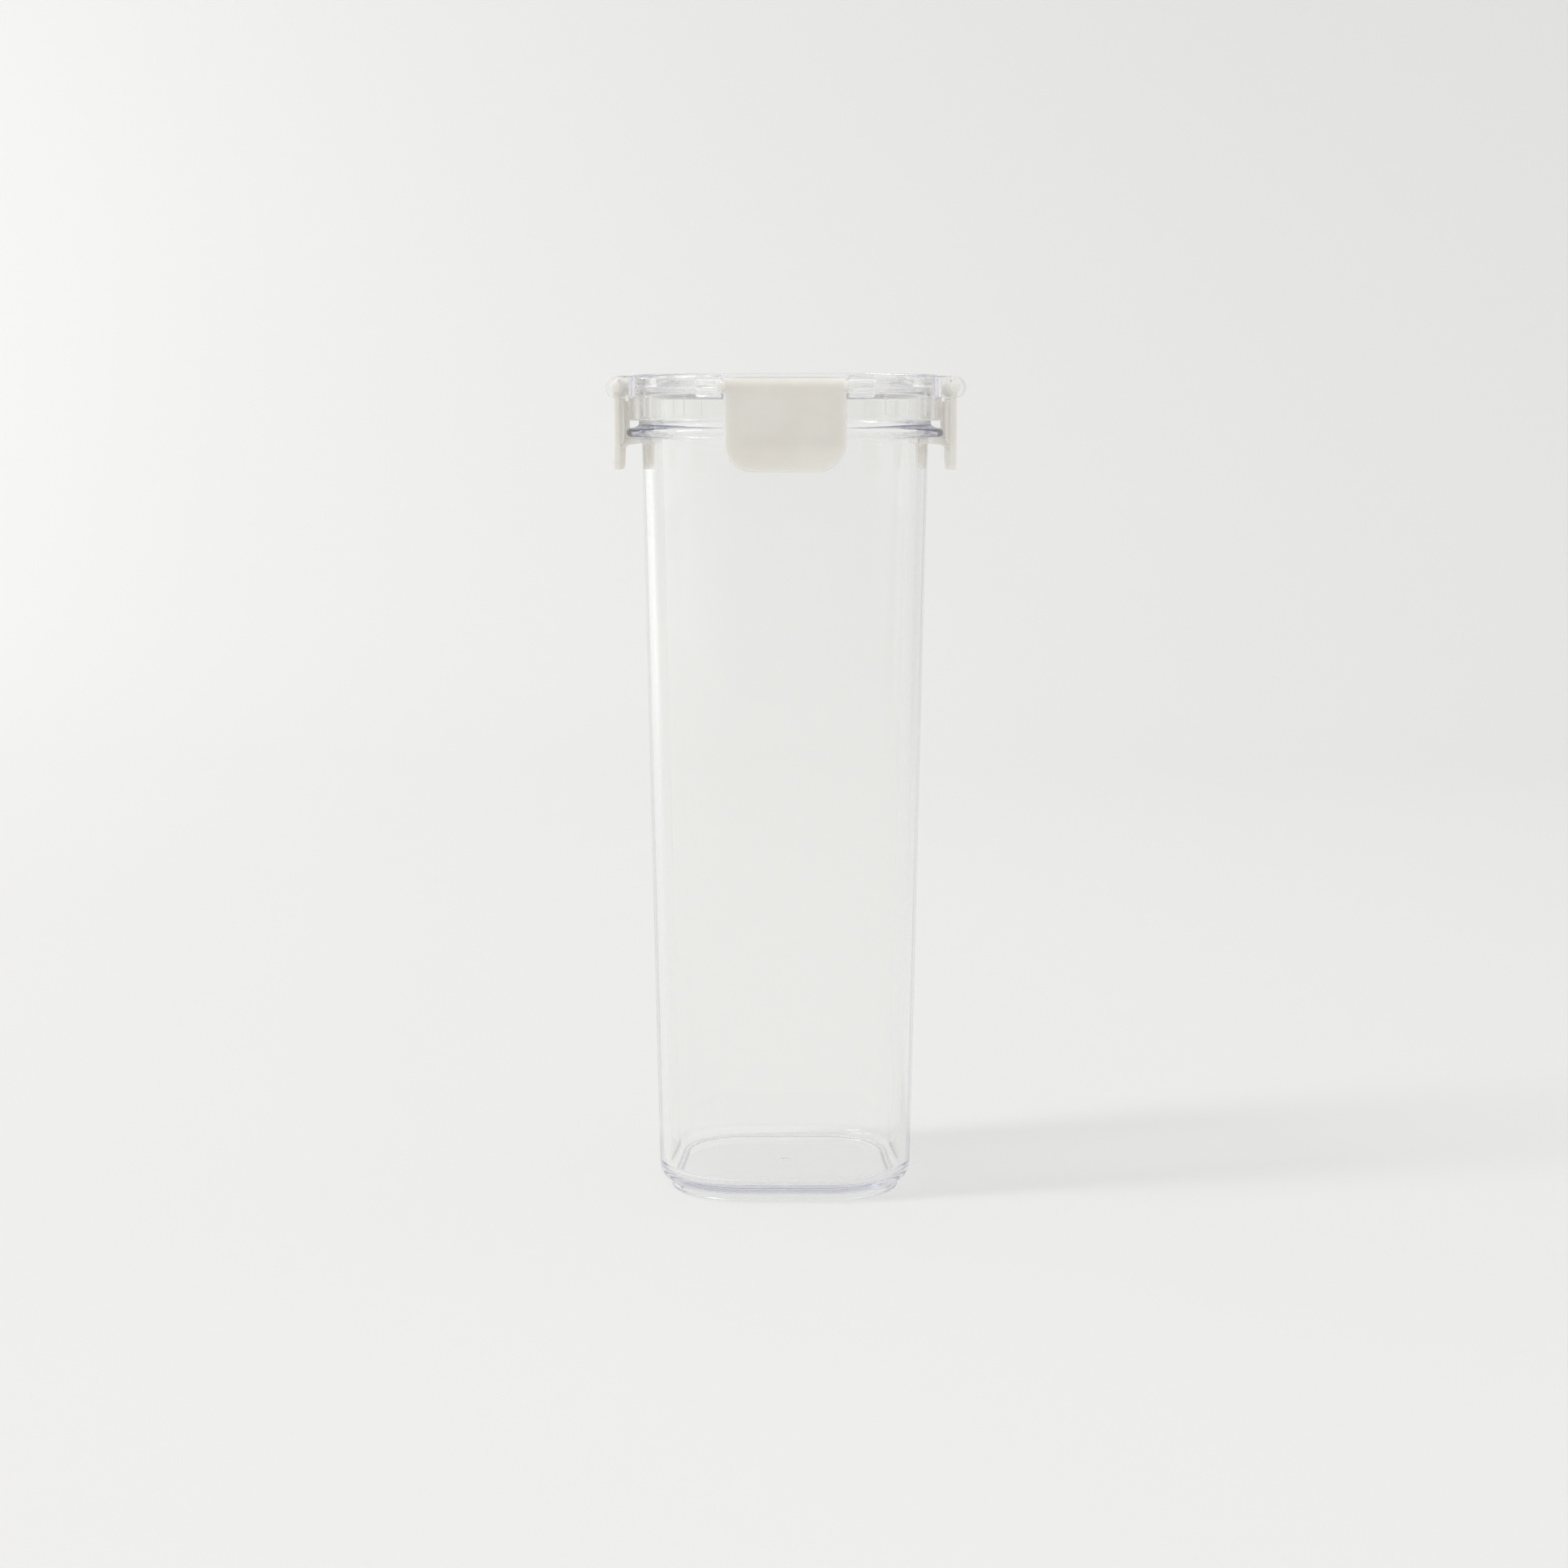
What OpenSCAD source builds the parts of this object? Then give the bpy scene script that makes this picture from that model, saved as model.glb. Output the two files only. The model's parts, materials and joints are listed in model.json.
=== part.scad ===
// Tall food canister: a clear drafted body with a rounded square plan, a clear lid with a
// stacking recess, a silicone ring between them, and four hinged latches that hook under
// the body's flange. Millimetres, +Z up. The origin is at the middle of the foot.

/* [Whole canister] */
// Height from the foot to the top of the lid
total_h = 260; // [200:1:320]
// Half the flat of each side: every rounded corner is centred this far from both middle planes
corner_c = 13; // [10:0.5:16]

/* [Body] */
// Half width of the body just under the flange
body_top_half = 45.1; // [44.8:0.1:45.2]
// Half width of the body where its bottom rounding starts
body_low_half = 40.35; // [39.5:0.05:41]
// Thickness of the side walls
wall_t = 3.1; // [2.6:0.1:3.3]
// Thickness of the floor
floor_t = 2.5; // [2:0.1:3]
// Half width of the foot ring
foot_half = 36.4; // [36:0.1:37]
// Height of the floor's underside above the table
foot_recess = 3; // [2.6:0.1:3.2]
// Half width of the neck that stands inside the lid
neck_half = 46; // [45.8:0.1:46.2]
// Half width of the flange that the latches hook under
flange_half = 50; // [49.5:0.1:50.1]

/* [Lid] */
// Half width of the lid's skirt
lid_half = 49.3; // [49.1:0.1:49.4]
// Height of the lid's skirt
skirt_h = 14.3; // [13.8:0.1:14.5]
// Depth of the stacking recess in the top
recess_d = 6.2; // [5.6:0.05:6.4]
// Half width of the stacking recess at its floor
recess_half = 40.6; // [40:0.1:40.8]
// Thickness of the lid's plate
plate_t = 1.8; // [1.6:0.1:2]
// Width of each hinge lug
lug_w = 8; // [6:0.5:9]

/* [Latches] */
// Width of a latch plate
latch_w = 37.3; // [32:0.1:38]
// Length of a latch from its top edge to its tip
latch_l = 28.3; // [27:0.1:30]
// Thickness of a latch plate
latch_t = 2.2; // [1.8:0.1:2.3]
// Radius of the two lower corners of a latch
latch_corner_r = 9; // [5:0.5:10]
// Width of the hook that grips the flange
hook_w = 30; // [22:0.5:31]
// Radius of the hinge stubs at both ends of a latch
pin_r = 1.65; // [1.4:0.05:1.8]

/* [Hidden] */
$fn = 96;

clear_colour = [0.86, 0.87, 0.92, 0.35];
latch_colour = [0.87, 0.86, 0.82];
gasket_colour = [0.80, 0.81, 0.83];

// Levels, from the top of the lid downwards
skirt_z = total_h - skirt_h;
plate_z = total_h - recess_d;
rim_z = total_h - 5.9;
neck_z = skirt_z - 1;
flange_z = total_h - 19.6;
nose_r = 1.5;

// Levels of the bottom
floor_z = foot_recess + floor_t;
low_round_r = 5;
low_round_z = 7.3;
inner_round_r = 3.5;

// Clearances: rim to skirt and plug, latch to lug, hook to flange and wall, stub to bore
plug_gap = 0.45;
side_gap = 0.45;
hook_gap = 0.3;
bore_gap = 0.07;
seal_gap = 0.05;

// Section of the lid
skirt_t = 2.2;
lid_top_r = 2;
plug_half = body_top_half - wall_t + 0.3 - plug_gap;
groove_z = rim_z + 1.65;

// Hinges: the lugs touch the skirt and end a little below the lid's top
lug_r = 3.5;
hinge_half = lid_half + lug_r;
hinge_z = total_h - lug_r - 0.5;
stub_l = 1.6;
stub_root = 0.3;
lug_in = latch_w / 2 + side_gap;

// Section of a latch
latch_out = hinge_half + latch_t / 2;
latch_in = hinge_half - latch_t / 2;
barrel_r = 2.4;
latch_top_z = hinge_z + barrel_r;
tip_z = latch_top_z - latch_l;
tip_flare = 0.5;
flare_l = 6.5;
latch_top_r = 2.4;
barrel_a = acos((latch_out - latch_top_r - hinge_half) / barrel_r);
hook_z = flange_z - hook_gap;
hook_t = 2.1;
hook_tip = body_top_half + 0.45;
rib_t = 1.2;
rib_d = 1.3;

// Small ribs inside the skirt that centre the lid on the neck
guide_x = 30.3;
guide_t = 0.8;
guide_d = 0.6;

// The mark that the moulding gate leaves in the middle of the floor
gate_r = 2;
gate_d = 0.4;

// Points on an arc about (x, y), in n steps
function arc(x, y, r, a0, a1, n = 5) =
    [for (i = [0 : n]) let (a = a0 + (a1 - a0) * i / n) [x + r * cos(a), y + r * sin(a)]];

// Points on a quadratic curve from p to q that is pulled towards m, without its first point
function curve(p, m, q, n = 5) =
    [for (i = [1 : n]) let (t = i / n) (1 - t) * (1 - t) * p + 2 * t * (1 - t) * m + t * t * q];

// A section drawn in half widths, moved so that x = 0 is the corner centre
function from_corner(points) = [for (p = points) [p[0] - corner_c, p[1]]];

// Carries a section round the rounded square: four turned corners and four straight sides
module round_square_sweep(points) {
    for (a = [0 : 90 : 270]) rotate([0, 0, a]) translate([corner_c, corner_c, 0]) {
        rotate_extrude(angle = 90) polygon(from_corner(points));
        rotate([90, 0, 0]) linear_extrude(2 * corner_c) polygon(from_corner(points));
    }
}

// The square in the middle, inside the four corner centres
module middle(z0, z1) {
    translate([-corner_c, -corner_c, z0]) cube([2 * corner_c, 2 * corner_c, z1 - z0]);
}

// A solid rounded square prism
module round_square_block(half, z0, z1) {
    round_square_sweep([[corner_c, z0], [half, z0], [half, z1], [corner_c, z1]]);
    middle(z0, z1);
}

// Copies made for the +X side on all four sides
module four_sides() {
    for (a = [0 : 90 : 270]) rotate([0, 0, a]) children();
}

// Draws a section (distance outwards, height) on the +X side, w wide along Y
module side_section(w) {
    rotate([90, 0, 0]) linear_extrude(w, center = true) children();
}

// The body's wall, floor, foot ring, flange and neck in one section
function body_section() = concat(
    [[corner_c, floor_z], [corner_c, foot_recess], [foot_half - 3.5, foot_recess],
     [foot_half - 2.7, 0.5]],
    [[foot_half - 2.2, 0]],
    arc(foot_half - 0.5, 0.5, 0.5, -90, 0, 3),
    [[foot_half, 1.8]],
    arc(body_low_half - low_round_r, low_round_z, low_round_r, -72, 0, 8),
    [[body_top_half, flange_z]],
    arc(flange_half - nose_r, flange_z + nose_r, nose_r, -90, 65, 8),
    curve([flange_half - nose_r * 0.58, flange_z + nose_r * 1.91],
          [neck_half + 0.4, flange_z + 3.4], [neck_half, neck_z]),
    arc(neck_half - 0.8, rim_z - 0.8, 0.8, 0, 90, 4),
    arc(body_top_half - wall_t + 0.9, rim_z - 0.6, 0.6, 90, 180, 3),
    arc(body_low_half - wall_t - inner_round_r, floor_z + inner_round_r, inner_round_r,
        0, -90, 7));

// Outer skirt, rim, recess wall, plate and the plug that stands inside the neck
function lid_section() = concat(
    [[corner_c, plate_z], [corner_c, plate_z - plate_t]],
    arc(plug_half - 0.8, plate_z - plate_t + 0.8, 0.8, -90, 0, 4),
    [[plug_half, groove_z], [lid_half - skirt_t, groove_z],
     [lid_half - skirt_t, skirt_z + 0.5], [lid_half - skirt_t + 0.5, skirt_z]],
    arc(lid_half - 0.5, skirt_z + 0.5, 0.5, -90, 0, 3),
    arc(lid_half - lid_top_r, total_h - lid_top_r, lid_top_r, 0, 90, 7),
    arc(recess_half + 1, total_h - 0.6, 0.6, 90, 180, 3),
    arc(recess_half - 1, plate_z + 1, 1, 0, -90, 4));

// The outline of a latch from the front, with its two lower corners rounded
module latch_outline() {
    half = latch_w / 2;
    r = latch_corner_r;
    polygon(concat(
        [[half, total_h + 1], [-half, total_h + 1]],
        arc(r - half, tip_z + r, r, 180, 270, 10),
        arc(half - r, tip_z + r, r, 270, 360, 10)));
}

// The section of a latch plate: a barrel at the hinge, a flat plate and a tip that thickens
module latch_section() {
    polygon(concat(
        arc(latch_out - latch_top_r, latch_top_z - latch_top_r, latch_top_r, 0, 85, 6),
        arc(hinge_half, hinge_z, barrel_r, barrel_a, 230, 10),
        curve([hinge_half + barrel_r * cos(230), hinge_z + barrel_r * sin(230)],
              [latch_in, hinge_z - barrel_r], [latch_in, hinge_z - barrel_r - 1.5], 4),
        [[latch_in, tip_z + 0.4], [latch_in + 0.4, tip_z]],
        [[latch_out + tip_flare - 0.6, tip_z]],
        [[latch_out + tip_flare, tip_z + 0.6]],
        curve([latch_out + tip_flare, tip_z + 0.6], [latch_out, tip_z + flare_l / 2],
              [latch_out, tip_z + flare_l], 5)));
}

// The hook that reaches under the flange, with a sloped underside and a rounded tip
module hook_section() {
    polygon([[latch_in + 0.5, hook_z], [latch_in + 0.5, hook_z - hook_t - 1.6],
             [latch_in, hook_z - hook_t - 1.1], [latch_in - 1.2, hook_z - hook_t],
             [hook_tip + 0.6, hook_z - hook_t + 0.4], [hook_tip, hook_z - hook_t + 1],
             [hook_tip, hook_z - 0.6], [hook_tip + 0.6, hook_z]]);
}

// One latch on the +X side, with its two hinge stubs
module latch() {
    intersection() {
        side_section(latch_w) latch_section();
        translate([latch_in - lug_r, 0, 0])
            rotate([90, 0, 90]) linear_extrude(3 * lug_r) latch_outline();
    }
    side_section(hook_w) hook_section();
    for (s = [-1, 1]) {
        translate([latch_in - rib_d, s * (latch_w / 2 - 1.6) - rib_t / 2, tip_z + 8])
            cube([rib_d + 0.2, rib_t, hinge_z - tip_z - 12]);
        translate([hinge_half, s * (latch_w / 2 - stub_root), hinge_z]) rotate([-90 * s, 0, 0])
            cylinder(r = pin_r, h = stub_root + side_gap + stub_l);
    }
}

// The two hinge lugs of the +X side, before they are cut to the skirt and bored
module lug_pair() {
    for (s = [-1, 1]) translate([0, s * (lug_in + lug_w / 2) - lug_w / 2, 0]) {
        translate([lid_half - 6, 0, hinge_z - lug_r])
            cube([hinge_half - lid_half + 6, lug_w, 2 * lug_r]);
        translate([hinge_half, 0, hinge_z]) rotate([-90, 0, 0])
            cylinder(r = lug_r, h = lug_w);
    }
}

// One centring rib on each side of the +X+Y corner, on the inner face of the skirt
module guide_ribs() {
    inner_r = lid_half - skirt_t - corner_c;
    turn = asin((guide_x - corner_c) / inner_r);
    for (a = [turn, 90 - turn]) translate([corner_c, corner_c, 0]) rotate([0, 0, a])
        translate([inner_r - guide_d, -guide_t / 2, skirt_z + 0.8])
            cube([guide_d + 0.4, guide_t, groove_z - skirt_z - 1.8]);
}

module canister_body() {
    color(clear_colour) difference() {
        union() {
            round_square_sweep(body_section());
            middle(foot_recess, floor_z);
        }
        difference() {
            translate([0, 0, foot_recess - 1]) cylinder(r = gate_r, h = gate_d + 1);
            translate([0, 0, foot_recess - 1]) cylinder(r = gate_r / 3, h = gate_d + 2);
        }
    }
}

module lid() {
    bore_l = 2 * (lug_in + lug_w + 1);
    color(clear_colour) difference() {
        union() {
            round_square_sweep(lid_section());
            middle(plate_z - plate_t, plate_z);
            four_sides() guide_ribs();
            difference() {
                four_sides() lug_pair();
                round_square_block(lid_half - skirt_t / 2, skirt_z, total_h + 1);
            }
        }
        four_sides() translate([hinge_half, 0, hinge_z]) rotate([90, 0, 0])
            cylinder(r = pin_r + bore_gap, h = bore_l, center = true);
    }
}

module lid_gasket() {
    color(gasket_colour) round_square_sweep([
        [plug_half + seal_gap, rim_z + seal_gap], [neck_half + 0.5, rim_z + seal_gap],
        [neck_half + 0.7, rim_z + 0.5], [neck_half + 0.7, groove_z - seal_gap],
        [plug_half + seal_gap, groove_z - seal_gap]]);
}

module latch_on(angle) {
    color(latch_colour) rotate([0, 0, angle]) latch();
}

module latch_front() latch_on(-90);
module latch_back() latch_on(90);
module latch_left() latch_on(180);
module latch_right() latch_on(0);

canister_body();
lid();
lid_gasket();
latch_front();
latch_back();
latch_left();
latch_right();
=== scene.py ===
"""A tall clear food canister with four latches, on a pale seamless floor in soft studio light.

The object faces -Y, stands on z = 0 and is centred on the Z axis. Its pieces are worked out in
millimetres and turned into metres by dress(). The camera, backdrop and lamps are in metres.
"""
import json
import math

import bmesh
import bpy
from mathutils import Matrix, Vector


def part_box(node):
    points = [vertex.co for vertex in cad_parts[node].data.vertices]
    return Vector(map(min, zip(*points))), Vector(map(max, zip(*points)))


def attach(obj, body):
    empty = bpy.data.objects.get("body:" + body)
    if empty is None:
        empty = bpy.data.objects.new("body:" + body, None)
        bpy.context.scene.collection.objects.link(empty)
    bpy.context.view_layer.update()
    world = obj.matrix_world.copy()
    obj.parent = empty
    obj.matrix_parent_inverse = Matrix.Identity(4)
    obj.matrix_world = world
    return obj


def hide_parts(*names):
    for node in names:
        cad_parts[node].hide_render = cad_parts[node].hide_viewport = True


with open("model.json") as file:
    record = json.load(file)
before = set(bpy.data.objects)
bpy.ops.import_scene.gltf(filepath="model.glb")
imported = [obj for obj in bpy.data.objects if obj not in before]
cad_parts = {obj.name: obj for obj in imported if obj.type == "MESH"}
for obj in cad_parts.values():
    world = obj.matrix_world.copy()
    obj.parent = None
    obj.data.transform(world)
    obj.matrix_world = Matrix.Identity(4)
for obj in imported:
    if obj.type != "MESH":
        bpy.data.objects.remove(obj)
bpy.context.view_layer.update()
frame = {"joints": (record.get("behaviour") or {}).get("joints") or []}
MM = 0.001

# ---------------------------------------------------------------- places from the frame, in mm
BODY_HIGH = Vector(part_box("canister_body")[1]) / MM
LID_LOW, LID_HIGH = (Vector(corner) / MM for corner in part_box("lid"))
RING_LOW, RING_HIGH = (Vector(corner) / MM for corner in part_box("lid_gasket"))
LATCH_LOW, LATCH_HIGH = (Vector(corner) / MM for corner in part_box("latch_right"))
HINGES = {joint["child"]: joint for joint in frame["joints"]}
HINGE = Vector(HINGES["latch_right"]["pos_m"]) / MM

TOP_Z = LID_HIGH.z       # the lid's rim
SKIRT_Z = LID_LOW.z      # the lid's lower edge
RIM_Z = BODY_HIGH.z      # the body's rim, under the lid
FLANGE_HALF = BODY_HIGH.x
LUG_R = LID_HIGH.x - HINGE.x
LID_HALF = HINGE.x - LUG_R
TIP_Z = LATCH_LOW.z
LATCH_TOP = LATCH_HIGH.z

# ---------------------------------------------------------------- the CAD's other sizes, in mm
CORNER_C = 13.0          # the corner centres' distance from both middle planes
FLANGE_Z = TOP_Z - 19.6  # the flange's underside
NECK_HALF = 46.0         # half widths across flats
BODY_TOP_HALF = 45.1
BODY_LOW_HALF = 40.35
FOOT_HALF = 36.4
WALL_T = 3.1
RIM_INNER_HALF = BODY_TOP_HALF - WALL_T + 0.3
FLOOR_LOW_Z = 3.0        # the floor's underside and top
FLOOR_Z = 5.5
PLATE_Z = TOP_Z - 6.2    # the sunk top of the lid's plate
PLATE_T = 1.8
RECESS_HALF = 40.6
PLUG_GAP = 0.45          # between the lid's plug and the inside of the rim
PLUG_HALF = RIM_INNER_HALF - PLUG_GAP
GROOVE_Z = RIM_Z + 1.65  # the lid's underside over the gasket
SKIRT_T = 2.2
LATCH_W = 37.3
LATCH_T = 2.2
LATCH_TOP_R = 2.4
LUG_GAP = 0.45           # between a latch's side and a lug
LUG_W = 8.0
LUG_MIDDLE = LATCH_W / 2 + LUG_GAP + LUG_W / 2
BARREL_L = LATCH_W - 0.3
BARREL_EDGE = 0.4        # the rounding of the barrel's two ends
BORE_R = 1.72
STUB_R = 1.64
INSIDE = 0.02            # how far round ends stay inside the CAD's box

# ---------------------------------------------------------------- mesh and shading
CORNER_STEPS = 36
SHARP_ANGLE = 38         # degrees between faces above which an edge is shaded sharp

# ---------------------------------------------------------------- the surround's brightness
WORLD_LOW = 0.89         # level with the object, and above it
WORLD_HIGH = 1.0
WORLD_LEFT = 0.04        # what is added towards the left
WORLD_FRONT = -0.15      # what is added towards the front, behind the camera


# ---------------------------------------------------------------- points and loops
def arc(x, y, r, a0, a1, n):
    """Points on an arc about (x, y) from a0 to a1 degrees, both ends included."""
    turn = [math.radians(a0 + (a1 - a0) * i / n) for i in range(n + 1)]
    return [(x + r * math.cos(a), y + r * math.sin(a)) for a in turn]


def curve(p, m, q, n):
    """Points on a quadratic curve from p to q that is pulled towards m, both ends included."""
    share = [i / n for i in range(n + 1)]
    return [tuple((1 - t) ** 2 * a + 2 * t * (1 - t) * b + t * t * c for a, b, c in zip(p, m, q))
            for t in share]


def line(p, q, n):
    """Points on a straight line from p to q, without p."""
    return [tuple(a + (b - a) * i / n for a, b in zip(p, q)) for i in range(1, n + 1)]


def ring(half, z, c=CORNER_C):
    """A rounded square of half width half, counter-clockwise from its +X+Y corner.

    c is the corner centres' distance from both middle planes.
    """
    c = min(c, half)
    r = half - c
    points = []
    for quarter in range(4):
        turn = Matrix.Rotation(quarter * math.pi / 2, 3, "Z")
        for i in range(CORNER_STEPS + 1):
            a = math.pi / 2 * i / CORNER_STEPS
            points.append(turn @ Vector((c + r * math.cos(a), c + r * math.sin(a), z)))
    return points


# ---------------------------------------------------------------- meshes
def mesh_object(name, bm):
    """A smooth-shaded object from a bmesh, in the bmesh's own unit."""
    bmesh.ops.recalc_face_normals(bm, faces=bm.faces)
    mesh = bpy.data.meshes.new(name)
    bm.to_mesh(mesh)
    bm.free()
    mesh.shade_smooth()
    made = bpy.data.objects.new(name, mesh)
    bpy.context.scene.collection.objects.link(made)
    return made


def add_loft(bm, loops, closed=False):
    """Joins loops of equally many points with quads, and fills the ends if it isn't closed."""
    rows = [[bm.verts.new(p) for p in loop] for loop in loops]
    count = len(rows[0])
    pairs = list(zip(rows, rows[1:]))
    if closed:
        pairs.append((rows[-1], rows[0]))
    for low, high in pairs:
        for i in range(count):
            j = (i + 1) % count
            bm.faces.new((low[i], low[j], high[j], high[i]))
    if not closed:
        bm.faces.new(list(reversed(rows[0])))
        bm.faces.new(rows[-1])


def combine(target, tools, operation):
    """Joins or cuts target with other closed objects, and removes those."""
    for tool in tools:
        step = target.modifiers.new("step", "BOOLEAN")
        step.operation = operation
        step.solver = "MANIFOLD"
        step.object = tool
        with bpy.context.temp_override(object=target, active_object=target):
            bpy.ops.object.modifier_apply(modifier=step.name)
        bpy.data.objects.remove(tool)
    target.data.shade_smooth()


def dress(made, material, body, node):
    """Turns a finished mesh into metres, shades it, and puts it on its body in a node's place."""
    made.data.transform(Matrix.Scale(MM, 4))
    made.data.materials.clear()
    made.data.materials.append(material)
    with bpy.context.temp_override(object=made, active_object=made, selected_objects=[made],
                                   selected_editable_objects=[made]):
        bpy.ops.object.shade_smooth_by_angle(angle=math.radians(SHARP_ANGLE))
    weigh = made.modifiers.new("weigh", "WEIGHTED_NORMAL")
    weigh.keep_sharp = True
    weigh.weight = 60
    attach(made, body)
    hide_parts(node)


def turned_copy(source, name, angle):
    """A copy of an object with its vertices turned about the Z axis."""
    made = source.copy()
    made.data = source.data.copy()
    made.name = name
    made.data.name = name
    made.data.transform(Matrix.Rotation(angle, 4, "Z"))
    bpy.context.scene.collection.objects.link(made)
    return made


# ---------------------------------------------------------------- materials
def new_material(name):
    """A material with its nodes, links and Principled shader."""
    material = bpy.data.materials.new(name)
    material.use_nodes = True
    nodes = material.node_tree.nodes
    return material, nodes, material.node_tree.links, nodes["Principled BSDF"]


def add_node(nodes, kind, **settings):
    """A new node; each setting is an input's value, or else a property of the node."""
    made = nodes.new(kind)
    for key, value in settings.items():
        if key in made.inputs:
            made.inputs[key].default_value = value
        else:
            setattr(made, key, value)
    return made


def spread(nodes, links, source, low, high, from_low=0.35, from_high=0.65):
    """A value mapped to run from low to high while the source runs between its own two."""
    made = add_node(nodes, "ShaderNodeMapRange")
    made.inputs["From Min"].default_value = from_low
    made.inputs["From Max"].default_value = from_high
    made.inputs["To Min"].default_value = low
    made.inputs["To Max"].default_value = high
    links.new(source, made.inputs["Value"])
    return made.outputs["Result"]


def clear_plastic():
    """Polished clear plastic with a faint violet cast where it is seen edge-on.

    Its shadow is light where the light meets a wall squarely, and darker where it grazes one.
    Light that bounces off the floor goes straight through.
    """
    material, nodes, links, shader = new_material("clear_plastic")
    shader.inputs["Base Color"].default_value = (0.99, 0.992, 0.985, 1)
    shader.inputs["Transmission Weight"].default_value = 1.0
    shader.inputs["IOR"].default_value = 1.56
    place = add_node(nodes, "ShaderNodeTexCoord").outputs["Object"]

    haze = add_node(nodes, "ShaderNodeTexNoise", Scale=90.0, Detail=3.0)
    links.new(place, haze.inputs["Vector"])
    links.new(spread(nodes, links, haze.outputs["Fac"], 0.008, 0.03),
              shader.inputs["Roughness"])

    flow = add_node(nodes, "ShaderNodeTexNoise", Scale=22.0, Detail=1.0)
    links.new(place, flow.inputs["Vector"])
    wave = add_node(nodes, "ShaderNodeBump", Strength=0.02, Distance=0.0002)
    links.new(flow.outputs["Fac"], wave.inputs["Height"])
    links.new(wave.outputs["Normal"], shader.inputs["Normal"])

    path = add_node(nodes, "ShaderNodeLightPath")
    grazing = add_node(nodes, "ShaderNodeLayerWeight", Blend=0.3).outputs["Fresnel"]
    tint = add_node(nodes, "ShaderNodeMix", data_type="RGBA")
    tint.inputs["A"].default_value = (0.995, 0.995, 0.995, 1)
    tint.inputs["B"].default_value = (0.55, 0.55, 0.57, 1)
    links.new(grazing, tint.inputs["Factor"])
    dimmed = add_node(nodes, "ShaderNodeBsdfTransparent")
    links.new(tint.outputs["Result"], dimmed.inputs["Color"])
    undimmed = add_node(nodes, "ShaderNodeBsdfTransparent")
    surface = shader.outputs["BSDF"]
    for ray, let_by in (("Is Diffuse Ray", undimmed), ("Is Shadow Ray", dimmed)):
        mix = add_node(nodes, "ShaderNodeMixShader")
        links.new(path.outputs[ray], mix.inputs[0])
        links.new(surface, mix.inputs[1])
        links.new(let_by.outputs["BSDF"], mix.inputs[2])
        surface = mix.outputs["Shader"]
    output = nodes["Material Output"]
    links.new(surface, output.inputs["Surface"])
    inside = add_node(nodes, "ShaderNodeVolumeAbsorption", Density=4.0)
    inside.inputs["Color"].default_value = (0.50, 0.505, 0.66, 1)
    links.new(inside.outputs["Volume"], output.inputs["Volume"])
    return material


def latch_plastic():
    """Satin off-white moulded plastic: a fine spark-eroded grain and a slight mottle."""
    material, nodes, links, shader = new_material("latch_plastic")
    place = add_node(nodes, "ShaderNodeTexCoord").outputs["Object"]
    mottle = add_node(nodes, "ShaderNodeTexNoise", Scale=60.0, Detail=4.0, Roughness=0.6)
    links.new(place, mottle.inputs["Vector"])
    tone = add_node(nodes, "ShaderNodeValToRGB")
    tone.color_ramp.elements[0].position = 0.35
    tone.color_ramp.elements[0].color = (0.705, 0.687, 0.652, 1)
    tone.color_ramp.elements[1].position = 0.65
    tone.color_ramp.elements[1].color = (0.735, 0.72, 0.684, 1)
    links.new(mottle.outputs["Fac"], tone.inputs["Fac"])
    links.new(tone.outputs["Color"], shader.inputs["Base Color"])
    links.new(spread(nodes, links, mottle.outputs["Fac"], 0.36, 0.46), shader.inputs["Roughness"])
    shader.inputs["IOR"].default_value = 1.48
    shader.inputs["Subsurface Weight"].default_value = 1.0
    shader.inputs["Subsurface Radius"].default_value = (1.0, 0.95, 0.85)
    shader.inputs["Subsurface Scale"].default_value = 0.005

    grain = add_node(nodes, "ShaderNodeTexNoise", Scale=2600.0, Detail=2.0)
    links.new(place, grain.inputs["Vector"])
    bump = add_node(nodes, "ShaderNodeBump", Strength=0.12, Distance=0.00004)
    links.new(grain.outputs["Fac"], bump.inputs["Height"])
    links.new(bump.outputs["Normal"], shader.inputs["Normal"])
    return material


def silicone():
    """Translucent silicone rubber with a soft, slightly uneven surface."""
    material, nodes, links, shader = new_material("silicone")
    place = add_node(nodes, "ShaderNodeTexCoord").outputs["Object"]
    cloud = add_node(nodes, "ShaderNodeTexNoise", Scale=140.0, Detail=3.0)
    links.new(place, cloud.inputs["Vector"])
    links.new(spread(nodes, links, cloud.outputs["Fac"], 0.08, 0.16), shader.inputs["Roughness"])
    shader.inputs["Base Color"].default_value = (0.97, 0.97, 0.97, 1)
    shader.inputs["Transmission Weight"].default_value = 1.0
    shader.inputs["IOR"].default_value = 1.41
    bump = add_node(nodes, "ShaderNodeBump", Strength=0.1, Distance=0.0001)
    links.new(cloud.outputs["Fac"], bump.inputs["Height"])
    links.new(bump.outputs["Normal"], shader.inputs["Normal"])
    return material


def studio_paper():
    """Matt pale paper for the floor and backdrop."""
    material, nodes, links, shader = new_material("studio_paper")
    place = add_node(nodes, "ShaderNodeTexCoord").outputs["Object"]
    cloud = add_node(nodes, "ShaderNodeTexNoise", Scale=1.2, Detail=2.0)
    links.new(place, cloud.inputs["Vector"])
    tone = add_node(nodes, "ShaderNodeValToRGB")
    tone.color_ramp.elements[0].color = (0.80, 0.80, 0.79, 1)
    tone.color_ramp.elements[1].color = (0.82, 0.82, 0.81, 1)
    links.new(cloud.outputs["Fac"], tone.inputs["Fac"])
    links.new(tone.outputs["Color"], shader.inputs["Base Color"])
    shader.inputs["Roughness"].default_value = 0.9
    shader.inputs["Specular IOR Level"].default_value = 0.1
    return material


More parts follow.
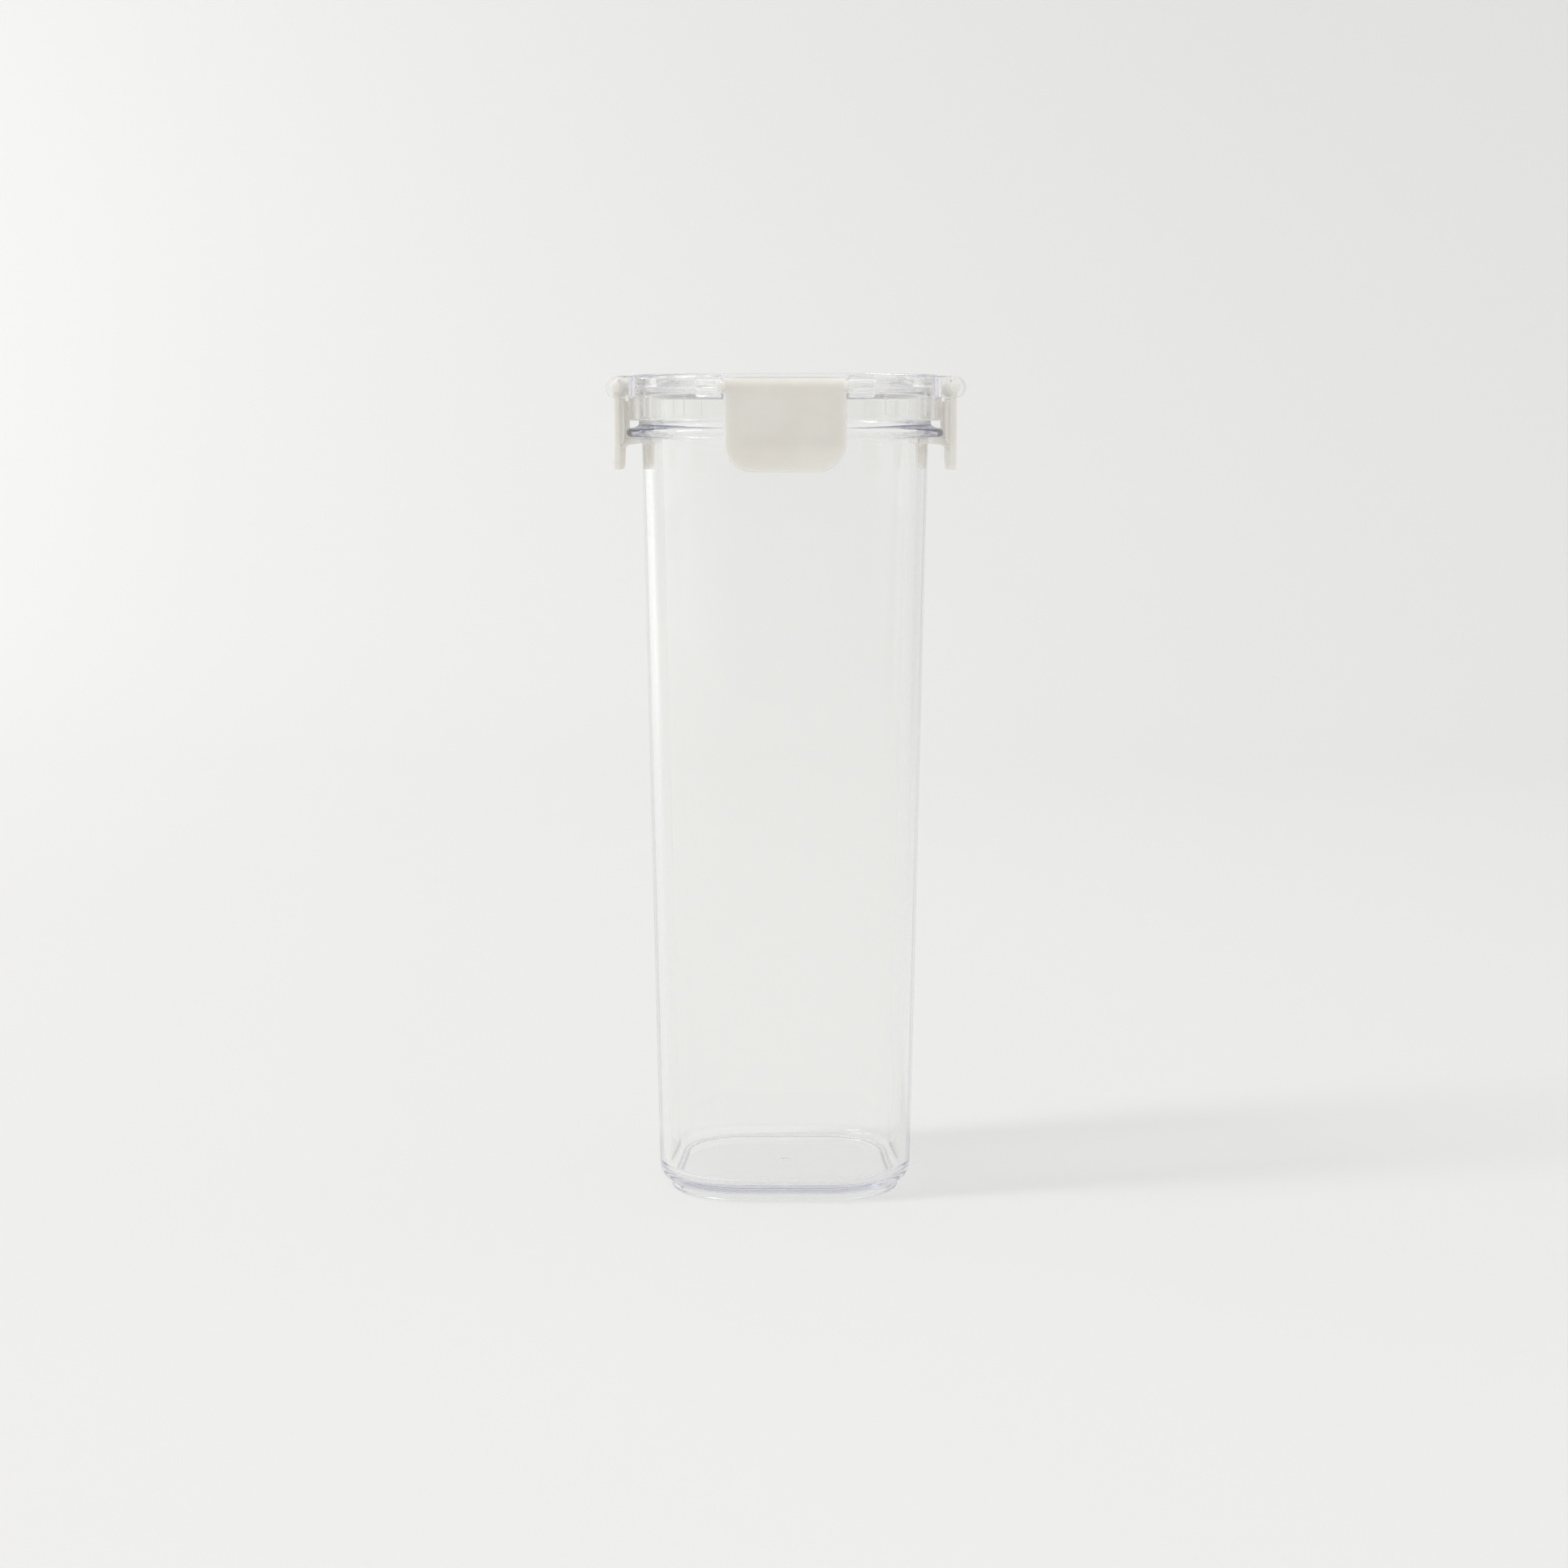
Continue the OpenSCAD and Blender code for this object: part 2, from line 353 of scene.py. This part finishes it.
# ---------------------------------------------------------------- the clear body
def body_section():
    """The body's section, from the middle of the floor's top outwards and back underneath.

    The curve is the fillet from the neck down to the flange's round nose.
    """
    inner_r, low_r, nose_r = 3.5, 5.0, 1.5
    rim_in_r, rim_out_r, root_r = 0.6, 0.8, 0.5
    foot_root_r, foot_r, foot_w, step_w = 0.6, 0.5, 2.7, 3.6
    low_z, wall_z, foot_root_z = 7.3, 8.5, 1.9
    inner_half = BODY_LOW_HALF - WALL_T
    return (
        arc(inner_half - inner_r, FLOOR_Z + inner_r, inner_r, -90, 0, 14)
        + line((inner_half, FLOOR_Z + inner_r), (RIM_INNER_HALF, RIM_Z - rim_in_r), 8)
        + arc(RIM_INNER_HALF + rim_in_r, RIM_Z - rim_in_r, rim_in_r, 180, 90, 5)[1:]
        + arc(NECK_HALF - rim_out_r, RIM_Z - rim_out_r, rim_out_r, 90, 0, 10)
        + [(NECK_HALF, SKIRT_Z + 1)]
        + curve((NECK_HALF, SKIRT_Z - 1), (NECK_HALF + 0.4, FLANGE_Z + 3.4),
                (FLANGE_HALF - nose_r * 0.58, FLANGE_Z + nose_r * 1.91), 14)
        + arc(FLANGE_HALF - nose_r, FLANGE_Z + nose_r, nose_r, 60, -90, 20)
        + arc(BODY_TOP_HALF + root_r, FLANGE_Z - root_r, root_r, 90, 180, 3)
        + line((BODY_TOP_HALF, FLANGE_Z - root_r), (BODY_LOW_HALF, wall_z), 8)
        + arc(BODY_LOW_HALF - low_r, low_z, low_r, 0, -72, 16)
        + arc(FOOT_HALF + foot_root_r, foot_root_z, foot_root_r, 120, 180, 3)
        + arc(FOOT_HALF - foot_r, foot_r, foot_r, 0, -90, 5)
        + arc(FOOT_HALF - foot_w + foot_r, foot_r, foot_r, -90, -170, 4)
        + arc(FOOT_HALF - step_w, FLOOR_LOW_Z - foot_r, foot_r, 10, 90, 4))


def flat_loops(z):
    """The loops inside a flat face at height z, from its middle outwards."""
    return [ring(6, z, 2), ring(20, z, 9)]


def make_body(material):
    """One closed loft: the floor's top, the wall, flange and neck, the foot and the underside."""
    low = FLOOR_LOW_Z
    loops = flat_loops(FLOOR_Z)
    loops += [ring(*point) for point in body_section()]
    loops += reversed(flat_loops(low))
    # a round groove about a small pip, where the mould was filled
    gate_r, gate_d, round_c = 2.0, 0.4, 0.05
    pip_r = gate_r / 3
    for half, depth in ((gate_r, 0), (gate_r - 0.15, gate_d), (pip_r + 0.1, gate_d), (pip_r, 0.1)):
        loops.append(ring(half, low + depth, round_c))
    bm = bmesh.new()
    add_loft(bm, loops)
    dress(mesh_object("canister_shell", bm), material, "canister", "canister_body")


# ---------------------------------------------------------------- the lid
def lid_section():
    """The lid's section, from the middle of the plate's top outwards and back underneath."""
    recess_r, brim_in_r, brim_out_r = 1.0, 0.6, 2.0
    skirt_r, groove_r, plug_r = 0.5, 0.3, 0.8
    return (
        arc(RECESS_HALF - recess_r, PLATE_Z + recess_r, recess_r, -90, 0, 6)
        + arc(RECESS_HALF + 1, TOP_Z - brim_in_r, brim_in_r, 180, 90, 5)
        + arc(LID_HALF - brim_out_r, TOP_Z - brim_out_r, brim_out_r, 90, 0, 14)
        + arc(LID_HALF - skirt_r, SKIRT_Z + skirt_r, skirt_r, 0, -90, 4)
        + arc(LID_HALF - SKIRT_T + skirt_r, SKIRT_Z + skirt_r, skirt_r, -90, -180, 4)
        + arc(LID_HALF - SKIRT_T - groove_r, GROOVE_Z - groove_r, groove_r, 0, 90, 3)
        + arc(PLUG_HALF + groove_r, GROOVE_Z - groove_r, groove_r, 90, 180, 3)
        + arc(PLUG_HALF - plug_r, PLATE_Z - PLATE_T + plug_r, plug_r, 0, -90, 5))


def rounded_loops(outline, length, edge):
    """An outline of (x, z) carried along Y, with its two end edges rounded."""
    count, steps = len(outline), 4
    inward = []
    for i, point in enumerate(outline):
        before, after = Vector(outline[i - 1]), Vector(outline[(i + 1) % count])
        along = (after - before).normalized()
        inward.append(Vector((-along.y, along.x)))
    loops = []
    for side in (-1, 1):
        part = []
        for k in range(steps + 1):
            a = math.pi / 2 * k / steps
            inset, y = edge * (1 - math.sin(a)), length / 2 - edge * (1 - math.cos(a))
            part.append([Vector((p[0] + inset * n.x, side * y, p[1] + inset * n.y))
                         for p, n in zip(outline, inward)])
        loops += part if side == -1 else list(reversed(part))
    return loops


def rounded_prism(name, outline, length, edge, middle=0.0):
    """A closed prism along Y, centred on y = middle, with rounded end edges."""
    bm = bmesh.new()
    loops = rounded_loops(outline, length, edge)
    add_loft(bm, [[p + Vector((0, middle, 0)) for p in loop] for loop in loops])
    return mesh_object(name, bm)


def lug(side):
    """One hinge lug on the +X side: a round nose, and a root that ends inside the skirt."""
    low, high = HINGE.z - LUG_R + INSIDE, HINGE.z + LUG_R - INSIDE
    root, taper, slant = LID_HALF - 2.9, 0.3, 0.3
    outline = (arc(HINGE.x, HINGE.z, LUG_R - INSIDE, -90, 90, 18)
               + [(root + 2, high), (root, high - taper), (root, low + taper), (root + 2, low)])
    made = rounded_prism("lug", outline, LUG_W, 0.55, side * LUG_MIDDLE)
    for vertex in made.data.vertices:
        if vertex.co.x < root + 1:
            vertex.co.x -= slant * (abs(vertex.co.y) - LUG_MIDDLE)
    return made


def bore_cutter(side):
    """A round bar on the hinge axis that is longer than a lug is wide."""
    outline = arc(HINGE.x, HINGE.z, BORE_R, 0, 352, 44)
    return rounded_prism("bore", outline, LUG_W + 2, 0.2, side * LUG_MIDDLE)


def guide_rib(side):
    """A thin rib inside the skirt, on the +X+Y corner, that centres the lid on the neck."""
    inner_r = LID_HALF - SKIRT_T - CORNER_C
    low, high = SKIRT_Z + 0.8, GROOVE_Z - 1.0
    from_middle, proud, root = 30.3, 0.3, 0.4
    outline = [(inner_r - proud, low + 0.6), (inner_r + root, low), (inner_r + root, high),
               (inner_r - proud, high - 0.3)]
    made = rounded_prism("rib", outline, 0.6, 0.25)
    turn = math.asin((from_middle - CORNER_C) / inner_r)
    if side > 0:
        turn = math.pi / 2 - turn
    made.data.transform(Matrix.Translation((CORNER_C, CORNER_C, 0))
                        @ Matrix.Rotation(turn, 4, "Z"))
    return made


def make_lid(material):
    """The swept lid with its lugs and guide ribs joined on, and its lugs bored."""
    loops = flat_loops(PLATE_Z)
    loops += [ring(*point) for point in lid_section()]
    loops += reversed(flat_loops(PLATE_Z - PLATE_T))
    bm = bmesh.new()
    add_loft(bm, loops)
    lid = mesh_object("lid_shell", bm)
    for operation, maker in (("UNION", lug), ("UNION", guide_rib), ("DIFFERENCE", bore_cutter)):
        for side in (-1, 1):
            first = maker(side)
            others = [turned_copy(first, "tool", k * math.pi / 2) for k in (1, 2, 3)]
            combine(lid, [first] + others, operation)
    dress(lid, material, "canister", "lid")


def make_gasket(material):
    """The silicone ring between rim and lid, with rounded edges."""
    low, high = RING_LOW.z, RING_HIGH.z
    inner, outer = PLUG_HALF + 0.05, RING_HIGH.x
    r = 0.35
    section = (arc(outer - r, high - r, r, 90, 0, 3) + arc(outer - r, low + r, r, 0, -90, 3)
               + arc(inner + r, low + r, r, -90, -180, 3) + arc(inner + r, high - r, r, 180, 90, 3))
    bm = bmesh.new()
    add_loft(bm, [ring(*point) for point in section], closed=True)
    dress(mesh_object("gasket_ring", bm), material, "canister", "lid_gasket")


# ---------------------------------------------------------------- the latches
def plate_rows(inset, top_inset):
    """(z, half width) of each row of a latch plate's face, inset from its outline."""
    corner_r, below_top = 9.0, 0.15
    steps, straight_steps, bend_steps = 12, 8, 10
    half, r = LATCH_W / 2 - inset, corner_r - inset
    low, high = TIP_Z + inset, LATCH_TOP - top_inset - below_top
    rows = []
    for k in range(steps + 1):
        a = math.pi / 2 * k / steps
        rows.append((low + r * (1 - math.cos(a)), half - r * (1 - math.sin(a))))
    bend = high - LATCH_TOP_R
    rows += [(low + r + (bend - low - r) * k / straight_steps, half)
             for k in range(1, straight_steps + 1)]
    rows += [(bend + LATCH_TOP_R * k / bend_steps, half) for k in range(1, bend_steps + 1)]
    return rows


def flare(z):
    """How far the tip's outer face curls outwards at height z."""
    reach, flare_l = 0.5, 6.5
    t = max(0.0, (TIP_Z + flare_l - z) / flare_l)
    return reach * t * t


def round_top(z):
    """How far the outer face falls back towards the lid at height z."""
    rise = max(0.0, z - (LATCH_TOP - LATCH_TOP_R))
    return LATCH_TOP_R - math.sqrt(max(0.0, LATCH_TOP_R ** 2 - rise ** 2))


def latch_plate():
    """The plate: a face grid in front and behind, joined by a rounded rim."""
    columns, edge, steps, top_share, least_t = 16, 0.7, 5, 0.3, 0.05
    outer, inner = HINGE.x + LATCH_T / 2, HINGE.x - LATCH_T / 2
    bm = bmesh.new()
    layers = []
    for front in (True, False):
        for k in range(steps + 1):
            a = math.pi / 2 * k / steps
            side_in = edge * (1 - math.sin(a))
            if front:
                depth = outer - edge * (1 - math.cos(a))
            else:
                depth = inner + edge * (1 - math.cos(a))
            layers.append((side_in, depth, front))
    order = layers[:steps + 1] + list(reversed(layers[steps + 1:]))

    def grid_point(layer, row, column):
        side_in, depth, front = layer
        z, half = plate_rows(side_in, side_in * top_share)[row]
        x = depth
        if front:
            x = max(depth + flare(z) - round_top(z), inner + edge + least_t)
        return Vector((x, -half + 2 * half * column / columns, z))

    last = len(plate_rows(0, 0)) - 1
    border = ([(0, c) for c in range(columns)] + [(r, columns) for r in range(last)]
              + [(last, c) for c in range(columns, 0, -1)] + [(r, 0) for r in range(last, 0, -1)])
    rims = [[bm.verts.new(grid_point(layer, *spot)) for spot in border] for layer in order]
    for low, high in zip(rims, rims[1:]):
        for i in range(len(border)):
            j = (i + 1) % len(border)
            bm.faces.new((low[i], low[j], high[j], high[i]))
    for layer, rim in ((order[0], rims[0]), (order[-1], rims[-1])):
        held = dict(zip(border, rim))
        for r in range(last + 1):
            for c in range(columns + 1):
                if (r, c) not in held:
                    held[(r, c)] = bm.verts.new(grid_point(layer, r, c))
        for r in range(last):
            for c in range(columns):
                bm.faces.new((held[(r, c)], held[(r, c + 1)],
                              held[(r + 1, c + 1)], held[(r + 1, c)]))
    return mesh_object("latch", bm)


def latch_barrel():
    """The inner half of a round bar about the hinge axis, behind the plate."""
    r = LATCH_TOP - HINGE.z - INSIDE
    outline = (arc(HINGE.x, HINGE.z, r, 123, 240, 16)
               + [(HINGE.x - 0.4, HINGE.z - 4.2), (HINGE.x + 0.3, HINGE.z - 4.0),
                  (HINGE.x + 0.3, HINGE.z + 1.0)])
    return rounded_prism("barrel", outline, BARREL_L, BARREL_EDGE)


def latch_cap():
    """The rounded top edge that closes the plate above the barrel."""
    top_x = HINGE.x + LATCH_T / 2 - LATCH_TOP_R
    outline = (arc(top_x, LATCH_TOP - LATCH_TOP_R, LATCH_TOP_R - INSIDE, 30, 92, 10)
               + [(top_x - 0.05, HINGE.z + 1.3), (HINGE.x + 0.5, HINGE.z + 0.3)])
    return rounded_prism("cap", outline, BARREL_L, BARREL_EDGE)


def latch_hook():
    """The tongue that reaches under the flange, thicker at its root."""
    gap, thick, width = 0.3, 2.1, 30.0
    top_r, low_r = 0.6, 0.7
    inner, tip, top = HINGE.x - LATCH_T / 2, LATCH_LOW.x, FLANGE_Z - gap
    outline = (arc(tip + top_r, top - top_r, top_r, 90, 180, 4)
               + arc(tip + low_r, top - thick + 1.1, low_r, 180, 260, 4)
               + curve((inner - 1.8, top - thick), (inner - 0.3, top - thick - 0.2),
                       (inner, top - thick - 1.3), 4)
               + [(inner + 0.5, top - thick - 1.5), (inner + 0.5, top)])
    return rounded_prism("hook", outline, width, 0.45)


def latch_rib(side):
    """A low rib on the plate's inner face that stiffens its edge."""
    inner = HINGE.x - LATCH_T / 2
    low, high = TIP_Z + 8, HINGE.z - 4
    depth, thick, from_edge = 1.3, 1.2, 1.6
    outline = [(inner + 0.3, high), (inner - depth + 0.5, high), (inner - depth, high - 1.5),
               (inner - depth, low + 2), (inner - depth + 0.5, low + 0.5), (inner + 0.3, low)]
    return rounded_prism("rib", outline, thick, 0.2, side * (LATCH_W / 2 - from_edge))


def latch_stub(side):
    """The hinge stub on one end of the barrel, with a rounded end."""
    outline = arc(HINGE.x, HINGE.z, STUB_R, 0, 348, 29)
    start, end = LATCH_W / 2 - 0.8, LATCH_HIGH.y
    return rounded_prism("stub", outline, end - start, 0.3, side * (start + end) / 2)


def make_latches(material):
    """One latch on the +X side, copied to all four sides."""
    latch = latch_plate()
    parts = [latch_barrel(), latch_cap(), latch_hook()]
    parts += [maker(side) for maker in (latch_rib, latch_stub) for side in (-1, 1)]
    combine(latch, parts, "UNION")
    turns = {"latch_right": 0, "latch_back": 1, "latch_left": 2, "latch_front": 3}
    for body, quarter in turns.items():
        made = turned_copy(latch, body + "_moulding", quarter * math.pi / 2)
        dress(made, material, body, body)
    bpy.data.objects.remove(latch)


# ---------------------------------------------------------------- camera, floor and light
def make_camera():
    """The photograph's view: from the front, level with the lid's skirt, tilted down."""
    distance, height, tilt, aside = 0.985, 0.245, 6.726, -0.0003
    data = bpy.data.cameras.new("camera")
    data.lens = 70.33
    data.sensor_width = 36.0
    data.clip_start = 0.05
    camera = bpy.data.objects.new("camera", data)
    camera.location = (aside, -distance, height)
    camera.rotation_euler = (math.radians(90 - tilt), 0, 0)
    bpy.context.scene.collection.objects.link(camera)
    bpy.context.scene.camera = camera


def make_backdrop():
    """A seamless sheet: flat floor, a wide curve and a wall."""
    half_w, front, back, bend, height, steps = 4.0, -3.0, 1.2, 0.9, 4.0, 24
    profile = [(front, 0.0), (0.0, 0.0), (back, 0.0)]
    profile += [(back + bend * math.sin(a), bend * (1 - math.cos(a)))
                for a in (math.pi / 2 * k / steps for k in range(1, steps + 1))]
    profile.append((back + bend, height))
    bm = bmesh.new()
    columns = [[bm.verts.new((x, y, z)) for y, z in profile]
               for x in (-half_w, half_w)]
    for i in range(len(profile) - 1):
        bm.faces.new((columns[0][i], columns[1][i], columns[1][i + 1], columns[0][i + 1]))
    sheet = mesh_object("backdrop", bm)
    sheet.data.materials.append(studio_paper())


def make_lamp(name, place, size, watts, colour, aim=(0, 0, 0.13)):
    """A rectangular lamp at a place, turned towards the canister's middle or another point."""
    data = bpy.data.lights.new(name, "AREA")
    data.shape = "RECTANGLE"
    data.size, data.size_y = size
    data.energy = watts
    data.color = colour
    lamp = bpy.data.objects.new(name, data)
    lamp.location = place
    lamp.rotation_euler = (Vector(aim) - Vector(place)).to_track_quat("-Z", "Y").to_euler()
    bpy.context.scene.collection.objects.link(lamp)


def make_light():
    """A high key from the left, a weak panel, a wash on the wall, and a bright pale surround."""
    warm, white = (1.0, 0.985, 0.965), (1.0, 1.0, 1.0)
    make_lamp("key", (-2.06, -0.59, 2.77), (0.45, 1.9), 24.0, warm)
    make_lamp("left_panel", (-1.7, 0.3, 0.7), (0.9, 1.6), 0.3, white)
    make_lamp("wall_wash", (-1.5, 1.1, 0.9), (0.6, 0.6), 2.9, white, (-0.8, 2.0, 0.4))
    world = bpy.data.worlds.new("surround")
    world.use_nodes = True
    nodes, links = world.node_tree.nodes, world.node_tree.links
    background = nodes["Background"]
    direction = add_node(nodes, "ShaderNodeTexCoord").outputs["Generated"]
    split = add_node(nodes, "ShaderNodeSeparateXYZ")
    links.new(direction, split.inputs["Vector"])
    above = spread(nodes, links, split.outputs["Z"], WORLD_LOW, WORLD_HIGH, 0.05, 0.7)
    left = spread(nodes, links, split.outputs["X"], WORLD_LEFT, 0.0, -1.0, 0.2)
    front = spread(nodes, links, split.outputs["Y"], WORLD_FRONT, 0.0, -0.9, 0.1)
    total = above
    for term in (left, front):
        added = add_node(nodes, "ShaderNodeMath", operation="ADD")
        links.new(total, added.inputs[0])
        links.new(term, added.inputs[1])
        total = added.outputs["Value"]
    links.new(total, background.inputs["Strength"])
    background.inputs["Color"].default_value = (*white, 1)
    world.cycles.sampling_method = "NONE"
    bpy.context.scene.world = world


def set_rendering():
    """Enough bounces for light that runs round inside clear edges, and colours as they are."""
    cycles, inner_bounces = bpy.context.scene.cycles, 400
    cycles.max_bounces = inner_bounces
    cycles.transmission_bounces = inner_bounces
    cycles.glossy_bounces = inner_bounces
    cycles.diffuse_bounces = 5
    cycles.transparent_max_bounces = 64
    cycles.caustics_reflective = False
    cycles.caustics_refractive = False
    cycles.sample_clamp_indirect = 6.0
    cycles.use_denoising = True
    bpy.context.scene.view_settings.view_transform = "Standard"


make_camera()
make_backdrop()
make_light()
set_rendering()
CLEAR = clear_plastic()
make_body(CLEAR)
make_lid(CLEAR)
make_gasket(silicone())
make_latches(latch_plastic())
